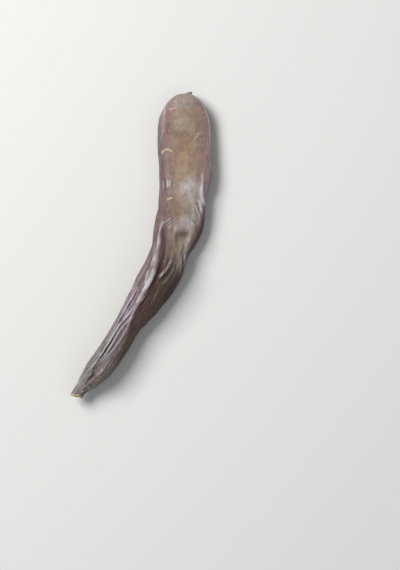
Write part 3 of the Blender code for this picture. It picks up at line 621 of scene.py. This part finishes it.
class Skin:
    """The pod's fine skin: where its points are, and what each point's tone depends on."""

    def __init__(self, rings, sides, edge_rows):
        self.spine = Spine(STATIONS)
        along, self.share = ring_places(self.spine, rings)
        self.width = self.spine.width(along) * self.share
        self.thickness = self.spine.thickness(along) * self.share
        points, around = sections(self.width, self.thickness, sides, edge_rows)
        self.along = np.broadcast_to(along[:, None], points.shape[:2])
        self.around = np.broadcast_to(around, points.shape[:2])
        self.straight = np.dstack([self.along, points])
        self.skin = skin_distance(around, self.width, self.thickness)
        faces = 4 * FACE_GIRTH * self.width
        margins = 2 * MARGIN_GIRTH * self.thickness
        self.girth = (faces + margins)[:, None] + 0.01
        across_axis, through_axis = self.spine.axes(along)
        self.across = points[:, :, 0]
        self.places = (
            self.spine.place(along)[:, None]
            + points[:, :, :1] * across_axis[:, None]
            + points[:, :, 1:] * through_axis[:, None]
        )
        self.way = np.cross(across_axis, through_axis)
        random = np.random.default_rng(NOISE_SEED)
        self.table = random.uniform(-1, 1, (NOISE_CELLS,) * 3)
        self.fine = np.zeros(points.shape[:2])
        self.shape()

    def noise(self, size, start=0.0):
        """Noise of this size. Another start gives other values."""
        return noise(self.straight / size + start, self.table)

    def folds(self, folds):
        total = np.zeros(self.along.shape)
        for fold in folds:
            total += fold_shape(self.spine, self.along[:, 0], self.skin, self.girth, fold)
        return total

    def rims_and_ends(self):
        """The raised rims, the sunken seams, the collar at the stalk and the neck before it."""
        rims = skin_distance(np.array([1.0, 2.0]), self.width, self.thickness)
        seams = skin_distance(np.array([1.5]), self.width, self.thickness)
        height = np.zeros(self.along.shape)
        near_tip = 1 / (1 + np.exp((self.along - RIM_END) / RIM_FADE))
        raised = RIM_HEIGHT * (RIM_LEFT + (1 - RIM_LEFT) * near_tip)
        for i in range(2):
            gap = (np.abs(self.skin) - rims[:, i : i + 1]) / RIM_HALF_WIDTH
            height += raised * np.exp(-(gap**2))
        gap = (np.abs(self.skin) - seams) / SEAM_HALF_WIDTH
        plain = 1 / (1 + np.exp((self.along - LEFT_SEAM_END) / LEFT_SEAM_FADE))
        height -= SEAM_DEPTH * np.exp(-(gap**2)) * np.where(self.around < 0, plain, 1)
        from_end = self.spine.length - self.along
        height += COLLAR_HEIGHT * np.exp(-((from_end / COLLAR_WIDTH) ** 2))
        height -= NECK_DEPTH * np.exp(-(((from_end - NECK_AT) / NECK_WIDTH) ** 2))
        return height

    def wrinkles(self):
        """Uneven lengthwise wrinkles, strongest on the narrow stalk end and the underside."""
        place = np.abs(self.around)
        upper = 1 - step_up(place, *UPPER_FACE_ENDS)
        broad = 1 - step_up(self.along, *BROAD_PART_ENDS)
        strength = 1 - SMOOTHER_UPPER * upper * broad - SMOOTHER_REST * (1 - upper) * broad
        self.strength = strength
        ridged = 1 - 2 * np.abs(self.noise(WRINKLE_SIZE))
        finer = 1 - 2 * np.abs(self.noise(np.array(WRINKLE_SIZE) / 2.1, 5.3))
        pucker = self.noise(PUCKER_SIZE, 2.7) + 0.5 * self.noise(np.array(PUCKER_SIZE) / 2, 8.1)
        return (
            WRINKLE_HEIGHT * strength * (0.6 * ridged + 0.35 * finer)
            + PUCKER_HEIGHT * (0.4 + 0.6 * strength) * pucker
        )

    def shape(self):
        fade = (np.minimum(self.width / 6, 1) * self.share**2)[:, None]
        self.fine = (self.folds(FINE_LINES) + self.wrinkles()) * fade
        height = SWELL * swells(self.places) + self.rims_and_ends() + self.folds(FOLDS)
        places = self.places + outward(self.places) * (height * fade)[:, :, None]
        places += outward(places) * self.fine[:, :, None]
        dish = SCAR_DISH * (1 - self.share**2)
        places -= dish[:, None, None] * self.way[:, None]
        places += slanted_cut(self.spine, self.along[:, 0], places, self.way)
        drawn = beak(places)
        self.beak = np.linalg.norm(drawn, axis=2) / np.linalg.norm(np.add(BEAK_RISE, BEAK_BEND))
        places += drawn
        places[:, :, 2] = np.maximum(places[:, :, 2], REST_HEIGHT)
        self.places = places - (*BOX_MIDDLE, REST_HEIGHT)

    def spot(self, along, around, half_length, half_width):
        """1 at one place of the skin, falling off round it."""
        width = self.spine.width(np.array([along]))
        thickness = self.spine.thickness(np.array([along]))
        middle = skin_distance(np.array([around]), width, thickness)[0, 0]
        beside = (self.skin - middle + self.girth / 2) % self.girth - self.girth / 2
        ahead = self.along - along
        return np.exp(-((ahead / half_length) ** 2) - (beside / half_width) ** 2)

    def spots(self, spots):
        total = np.zeros(self.along.shape)
        for strength, *place in spots:
            total += strength * self.spot(*place)
        return total


def ground_tones(skin):
    """The tones that change over long stretches; the margin and brown hold painted shade, the lilac
    painted light.
    """
    place = np.abs(skin.around) + 0.12 * skin.noise((9.0, 4.0, 4.0), 3.0)
    along = skin.along + 4 * skin.noise((7.0, 5.0, 5.0), 6.0)
    from_middle = np.minimum(place, 3 - place)
    left = -skin.around + 0.05 * skin.noise((6.0, 3.0, 3.0), 2.0)
    not_under = 1 - step_up(left, *MARGIN_ENDS)
    edge = step_up(left, *EDGE_STARTS) * not_under
    # Painted shade on the left margin strip.
    margin = step_up(left, *MARGIN_STARTS) * not_under
    margin *= (1 - 0.55 * step_up(skin.along, *SHADE_LESS)) * step_up(skin.along, *SHADE_STARTS)
    grey_rim = step_up(along, *GREY_RIM_STARTS) * (1 - step_up(along, *GREY_RIM_ENDS))
    grey_rim = step_up(left, *OUTSIDE_RIM) * grey_rim
    grey = np.maximum(grey_rim, 0.65 * (1 - step_up(along, *GREY_TIP_ENDS)))
    on_face = 1 - step_up(from_middle, *OLIVE_FADES)
    return {
        "olive": on_face * (1 - step_up(along, *OLIVE_ENDS)),
        "wrinkled": skin.strength,
        "green": np.maximum(step_up(along, *GREEN_STARTS), grey),
        "margin": margin,
        # Painted shade on the stalk end's upper face, over its darker brown, and painted light on
        # its upturned left edge.
        "brown_and_shade": step_up(along, *BROWN_AND_SHADE_STARTS) * (1 - edge),
        "lilac_and_light": step_up(along, *LILAC_AND_LIGHT_STARTS) * edge,
    }


def mark_tones(skin):
    """The tones of the marks on the skin: patches, streaks, crests and grooves, with painted sheen
    and painted shade among them.
    """
    # The bloom is partly the grey waxy bloom and partly painted sheen and highlights.
    patchy = 0.85 + 0.35 * skin.noise((4.0, 2.0, 2.0), 9.0)
    bloom_and_sheen = skin.spots(BLOOM_AND_SHEEN_PATCHES) * patchy + skin.folds(BLOOM_AND_SHEEN_STREAKS)
    red = skin.spots(RED_PATCHES) + skin.folds(RED_STREAKS)
    red *= 0.75 + 0.5 * skin.noise((5.0, 2.0, 2.0), 4.0)
    # Painted shade in the fine grooves; the dark also holds the painted shade patches and streaks
    # and the beak's own dark colour.
    groove_shade = -1.3 * np.minimum(skin.fine, 0)
    dark = skin.folds(SHADE_STREAKS) + skin.spots(SHADE_PATCHES) + groove_shade + 0.8 * skin.beak**2
    return {
        "bloom_and_sheen": np.clip(bloom_and_sheen, 0, 1),
        "red": np.clip(red, 0, 1),
        "dark": np.clip(dark, 0, 1),
        "crest": np.clip(1.6 * np.maximum(skin.fine, 0), 0, 1),
        "rim": np.clip(skin.folds(RIM_LINES), 0, 1),
    }


def scar_tones(skin):
    """The pale scars and specks, and the dry break where the stalk was."""
    cream = skin.folds(CREAM_STREAKS) + skin.spots(CREAM_SPOTS)
    cream = step_up(cream + 0.25 * skin.noise((0.8, 0.8, 0.8), 1.0), 0.45, 0.8)
    at_scar = 1 - skin.share[:, None] + np.zeros(skin.along.shape)
    end_gap = skin.spine.length - skin.along - 0.5 * skin.noise((1.0, 1.5, 1.5), 2.0)
    at_end = np.maximum(step_up(at_scar, 0.01, 0.1), 1 - step_up(end_gap, 0.3, 0.9))
    pale_side = step_up(-skin.across, -0.5, 1.5)
    return {"cream": np.maximum(cream, at_end * pale_side), "scar": at_end}


def tones(skin):
    """The tone of every point of the skin, each from 0 to 1."""
    return {**ground_tones(skin), **mark_tones(skin), **scar_tones(skin)}


def shaped_sphere(name, skin):
    """A UV sphere whose rings become the pod's sections, from the beak to the stalk."""
    rings, sides = len(skin.places) - 1, skin.places.shape[1]
    mesh = bpy.data.meshes.new(name)
    form = bmesh.new()
    bmesh.ops.create_uvsphere(form, u_segments=sides, v_segments=rings, radius=1)
    form.to_mesh(mesh)
    form.free()
    points = np.zeros(len(mesh.vertices) * 3)
    mesh.vertices.foreach_get("co", points)
    x, y, z = points.reshape(-1, 3).T
    ring = np.rint(np.arccos(np.clip(-z, -1, 1)) / np.pi * rings).astype(int)
    side = np.rint(np.arctan2(y, x) / (2 * np.pi) * sides).astype(int) % sides
    mesh.vertices.foreach_set("co", (skin.places[ring, side] * MM).ravel())
    for key, values in tones(skin).items():
        layer = mesh.attributes.new(key, "FLOAT", "POINT")
        layer.data.foreach_set("value", values[ring, side])
    layer = mesh.attributes.new("straight", "FLOAT_VECTOR", "POINT")
    layer.data.foreach_set("vector", skin.straight[ring, side].ravel())
    mesh.shade_smooth()
    return mesh


class Nodes:
    """Short forms for the nodes of one material."""

    def __init__(self, name):
        self.material = bpy.data.materials.new(name)
        self.material.use_nodes = True
        self.tree = self.material.node_tree
        self.shader = self.tree.nodes["Principled BSDF"]

    def put(self, socket, value):
        if isinstance(value, bpy.types.NodeSocket):
            self.tree.links.new(value, socket)
        else:
            socket.default_value = value

    def tone(self, name):
        node = self.tree.nodes.new("ShaderNodeAttribute")
        node.attribute_name = name
        return node.outputs["Fac"]

    def straight(self, size):
        """Places along, across and through the pod, in steps of the given size."""
        node = self.tree.nodes.new("ShaderNodeAttribute")
        node.attribute_name = "straight"
        scale = self.tree.nodes.new("ShaderNodeVectorMath")
        scale.operation = "DIVIDE"
        self.put(scale.inputs[0], node.outputs["Vector"])
        scale.inputs[1].default_value = size
        return scale.outputs[0]

    def noise(self, size, detail=3.0, roughness=0.55):
        node = self.tree.nodes.new("ShaderNodeTexNoise")
        self.put(node.inputs["Vector"], self.straight(size))
        node.inputs["Scale"].default_value = 1.0
        node.inputs["Detail"].default_value = detail
        node.inputs["Roughness"].default_value = roughness
        return node.outputs["Fac"]

    def cells(self, size):
        """The distance to the nearest of many scattered points."""
        node = self.tree.nodes.new("ShaderNodeTexVoronoi")
        self.put(node.inputs["Vector"], self.straight(size))
        node.inputs["Scale"].default_value = 1.0
        return node.outputs["Distance"]

    def math(self, kind, a, b=0.0):
        node = self.tree.nodes.new("ShaderNodeMath")
        node.operation = kind
        self.put(node.inputs[0], a)
        self.put(node.inputs[1], b)
        return node.outputs[0]

    def span(self, value, low, high, to_low=0.0, to_high=1.0):
        node = self.tree.nodes.new("ShaderNodeMapRange")
        self.put(node.inputs["Value"], value)
        node.inputs["From Min"].default_value = low
        node.inputs["From Max"].default_value = high
        node.inputs["To Min"].default_value = to_low
        node.inputs["To Max"].default_value = to_high
        return node.outputs["Result"]

    def mix(self, share, first, second, kind="MIX"):
        node = self.tree.nodes.new("ShaderNodeMix")
        node.data_type = "RGBA"
        node.blend_type = kind
        self.put(node.inputs["Factor"], share)
        self.put(node.inputs["A"], first)
        self.put(node.inputs["B"], second)
        return node.outputs["Result"]

    def bump(self, height, depth, below=None):
        node = self.tree.nodes.new("ShaderNodeBump")
        node.inputs["Distance"].default_value = depth
        self.put(node.inputs["Height"], height)
        if below is not None:
            self.put(node.inputs["Normal"], below)
        return node.outputs["Normal"]


# Colours of the skin, in linear light. The rust is what its blotches multiply the colour by.
MAUVE = (0.220, 0.149, 0.140, 1.0)
OLIVE = (0.272, 0.210, 0.130, 1.0)
# The stalk end's brown is partly painted shade on its upper face, turned away from the light, and
# its lilac grey is partly painted light on the edge turned up to the light.
ARM_BROWN_AND_SHADE = (0.084, 0.049, 0.036, 1.0)
EDGE_LILAC_AND_LIGHT = (0.212, 0.174, 0.208, 1.0)
RED_BROWN = (0.112, 0.032, 0.034, 1.0)
SHADOW_BROWN = (0.042, 0.022, 0.021, 1.0)
# The bloom grey is partly the waxy bloom's colour and partly painted sheen and highlights.
BLOOM_AND_SHEEN_GREY = (0.475, 0.462, 0.475, 1.0)
CREST_GREY = (0.32, 0.29, 0.31, 1.0)
CREST_TAN = (0.20, 0.145, 0.105, 1.0)
STALK_GREY = (0.160, 0.150, 0.136, 1.0)
RUST = (1.12, 0.93, 0.88, 1.0)
# The rim grey along the right rim is a painted highlight.
RIM_GREY = (0.46, 0.435, 0.41, 1.0)
SPECK_PINK = (0.42, 0.27, 0.21, 1.0)
SCAR_CREAM = (0.68, 0.56, 0.38, 1.0)
SCAR_TAN = (0.22, 0.17, 0.125, 1.0)

# How long, wide and deep the mottle, grain, streaks and blotches of the skin are, in millimetres,
# and how deep its grain and streaks are worked in, in metres.
MOTTLE_SIZE = (4.2, 3.6, 3.6)
GRAIN_SIZE = (0.65, 0.55, 0.55)
STREAK_SIZE = (16.0, 0.8, 0.8)
BLOTCH_SIZE = (2.6, 1.9, 1.9)
SPECK_SIZE = (2.3, 1.8, 1.8)
STREAK_DEPTH = 0.00034
GRAIN_DEPTH = 0.00022
SKIN_SPECULAR = 0.3


def ground_colour(nodes, mottle, streak, blotch):
    """Olive faces, mauve margins, a brown and lilac stalk end partly painted as shade and light,
    rusty blotches, and painted shade on the left margin.
    """
    olive = nodes.math("MULTIPLY", nodes.tone("olive"), nodes.span(mottle, 0.35, 0.62, 0.45, 1.0))
    colour = nodes.mix(olive, MAUVE, OLIVE)
    rusty = nodes.mix(1.0, colour, RUST, "MULTIPLY")
    colour = nodes.mix(nodes.span(blotch, 0.42, 0.66, 0.0, 0.9), colour, rusty)
    # Painted shade on the stalk end's upper face and painted light on its upturned edge.
    colour = nodes.mix(nodes.math("MULTIPLY", nodes.tone("brown_and_shade"), 0.9), colour, ARM_BROWN_AND_SHADE)
    colour = nodes.mix(nodes.math("MULTIPLY", nodes.tone("lilac_and_light"), 0.8), colour, EDGE_LILAC_AND_LIGHT)
    green = nodes.math("MULTIPLY", nodes.tone("green"), nodes.span(streak, 0.3, 0.65, 0.3, 1.0))
    colour = nodes.mix(green, colour, STALK_GREY)
    colour = nodes.mix(nodes.math("MULTIPLY", nodes.tone("red"), 0.8), colour, RED_BROWN)
    # Painted shade darkens the left margin strip.
    shaded = nodes.span(nodes.tone("margin"), 0.0, 1.0, 1.0, 0.55)
    return nodes.mix(1.0, colour, shaded, "MULTIPLY")


def bloom_sheen_and_shade(nodes, colour, mottle, grain, streak):
    """The grey bloom and painted sheen, the pale crests, painted shade in the grooves, and light
    and dark in the grain.
    """
    # Painted sheen and highlights, mixed with the grey waxy bloom.
    bloom_and_sheen = nodes.math("MULTIPLY", nodes.tone("bloom_and_sheen"), nodes.span(mottle, 0.3, 0.7, 0.65, 1.0))
    colour = nodes.mix(bloom_and_sheen, colour, BLOOM_AND_SHEEN_GREY)
    crest_colour = nodes.mix(nodes.tone("brown_and_shade"), CREST_GREY, CREST_TAN)
    colour = nodes.mix(nodes.math("MULTIPLY", nodes.tone("crest"), 0.35), colour, crest_colour)
    # Painted shade in the grooves, dent and shaded sides, with the beak's dark colour.
    colour = nodes.mix(nodes.math("MULTIPLY", nodes.tone("dark"), 0.8), colour, SHADOW_BROWN)
    shade = nodes.span(mottle, 0.3, 0.7, 0.86, 1.12)
    shade = nodes.math("MULTIPLY", shade, nodes.span(grain, 0.32, 0.68, 0.81, 1.18))
    streaked = nodes.span(streak, 0.34, 0.66, -0.38, 0.38)
    streaked = nodes.math("MULTIPLY", streaked, nodes.tone("wrinkled"))
    shade = nodes.math("MULTIPLY", shade, nodes.math("ADD", streaked, 1.0))
    return nodes.mix(1.0, colour, shade, "MULTIPLY")


def marked_colour(nodes, colour, grain, blotch):
    """The pink specks, the pale rim lines with a painted highlight along the right rim, the pale
    scars and the dry break.
    """
    speck = nodes.span(nodes.cells(SPECK_SIZE), 0.14, 0.3, 1.0, 0.0)
    speck = nodes.math("MULTIPLY", speck, nodes.span(blotch, 0.46, 0.56))
    speck = nodes.math("MULTIPLY", speck, nodes.span(nodes.tone("olive"), 0.0, 1.0, 1.0, 0.2))
    colour = nodes.mix(nodes.math("MULTIPLY", speck, 0.5), colour, SPECK_PINK)
    # Pale rim lines; along the right rim a painted highlight.
    rim = nodes.math("MULTIPLY", nodes.tone("rim"), nodes.span(grain, 0.3, 0.6, 0.6, 1.0))
    colour = nodes.mix(rim, colour, RIM_GREY)
    colour = nodes.mix(nodes.tone("scar"), colour, SCAR_TAN)
    return nodes.mix(nodes.tone("cream"), colour, nodes.mix(grain, SCAR_CREAM, OLIVE))


def skin_roughness(nodes, mottle, grain):
    """A satin skin, duller on the brown stalk end."""
    roughness = nodes.span(mottle, 0.3, 0.7, 0.34, 0.5)
    roughness = nodes.math("ADD", roughness, nodes.math("MULTIPLY", nodes.tone("brown_and_shade"), 0.14))
    return nodes.math("ADD", roughness, nodes.span(grain, 0.3, 0.7, -0.05, 0.05))


def skin_material():
    """A dry leathery skin: olive brown faces, mauve margins, a grey waxy bloom, pale scars, and
    painted sheen and shade.
    """
    nodes = Nodes("pod_skin")
    mottle = nodes.noise(MOTTLE_SIZE, 4.0, 0.6)
    grain = nodes.noise(GRAIN_SIZE, 3.0, 0.6)
    streak = nodes.noise(STREAK_SIZE, 3.0, 0.6)
    blotch = nodes.noise(BLOTCH_SIZE, 3.0, 0.6)
    colour = ground_colour(nodes, mottle, streak, blotch)
    colour = bloom_sheen_and_shade(nodes, colour, mottle, grain, streak)
    colour = marked_colour(nodes, colour, grain, blotch)
    nodes.put(nodes.shader.inputs["Base Color"], colour)
    nodes.put(nodes.shader.inputs["Roughness"], skin_roughness(nodes, mottle, grain))
    ridged = nodes.math("MULTIPLY", nodes.span(streak, 0.3, 0.7), nodes.tone("wrinkled"))
    wrinkled = nodes.bump(ridged, STREAK_DEPTH)
    leathery = nodes.bump(grain, GRAIN_DEPTH, wrinkled)
    nodes.put(nodes.shader.inputs["Normal"], leathery)
    nodes.shader.inputs["Specular IOR Level"].default_value = SKIN_SPECULAR
    return nodes.material


def make_pod():
    skin = Skin(RINGS, SIDES, EDGE_ROWS)
    mesh = shaped_sphere("pod_fine_skin", skin)
    mesh.materials.append(skin_material())
    pod = bpy.data.objects.new("pod_fine_skin", mesh)
    bpy.context.scene.collection.objects.link(pod)
    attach(pod, "root")
    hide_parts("pod")


# The floor's half size in metres, its colour and its roughness.
FLOOR_SIZE = 2.0
FLOOR_WHITE = (0.62, 0.615, 0.60, 1.0)
FLOOR_ROUGHNESS = 0.7


def make_floor():
    mesh = bpy.data.meshes.new("floor")
    form = bmesh.new()
    bmesh.ops.create_grid(form, x_segments=1, y_segments=1, size=FLOOR_SIZE)
    form.to_mesh(mesh)
    form.free()
    nodes = Nodes("floor_white")
    nodes.shader.inputs["Base Color"].default_value = FLOOR_WHITE
    nodes.shader.inputs["Roughness"].default_value = FLOOR_ROUGHNESS
    mesh.materials.append(nodes.material)
    floor = bpy.data.objects.new("floor", mesh)
    bpy.context.scene.collection.objects.link(floor)


# The camera looks straight down. The scale holds at the pod's level, which is in metres over the
# floor, and the view's middle is this many millimetres from the beak (right, towards the beak).
PHOTO_HEIGHT = 570
METRES_A_PIXEL = 0.00055
VIEW_FROM_BEAK = (6.05, -105.6)
POD_LEVEL = 0.012
LENS = 150.0
SENSOR = 36.0


def make_camera():
    camera = bpy.data.cameras.new("camera")
    camera.lens = LENS
    camera.sensor_width = SENSOR
    camera.clip_end = 20
    distance = PHOTO_HEIGHT * METRES_A_PIXEL * LENS / SENSOR
    view = bpy.data.objects.new("camera", camera)
    middle = np.subtract(VIEW_FROM_BEAK, BOX_MIDDLE) * MM
    view.location = (*middle, POD_LEVEL + distance)
    bpy.context.scene.collection.objects.link(view)
    bpy.context.scene.camera = view


def area_light(name, place, size, power, colour):
    """A square soft light that shines at the pod's middle."""
    light = bpy.data.lights.new(name, "AREA")
    light.shape = "SQUARE"
    light.size = size
    light.energy = power
    light.color = colour
    lamp = bpy.data.objects.new(name, light)
    lamp.location = place
    x, y, z = place
    lamp.rotation_euler = (math.atan2(math.hypot(x, y), z), 0, math.atan2(y, x) + math.pi / 2)
    bpy.context.scene.collection.objects.link(lamp)


def make_lights():
    area_light("key", place=(-0.75, 0.55, 1.1), size=0.7, power=27.0, colour=(1.0, 0.985, 0.965))
    area_light("fill", place=(0.9, -0.6, 1.3), size=1.2, power=2.5, colour=(0.95, 0.97, 1.0))
    world = bpy.data.worlds.new("studio")
    world.use_nodes = True
    background = world.node_tree.nodes["Background"]
    background.inputs["Color"].default_value = (0.93, 0.95, 1.0, 1.0)
    background.inputs["Strength"].default_value = 0.34
    bpy.context.scene.world = world
    bpy.context.scene.view_settings.view_transform = "Standard"


make_pod()
make_floor()
make_camera()
make_lights()
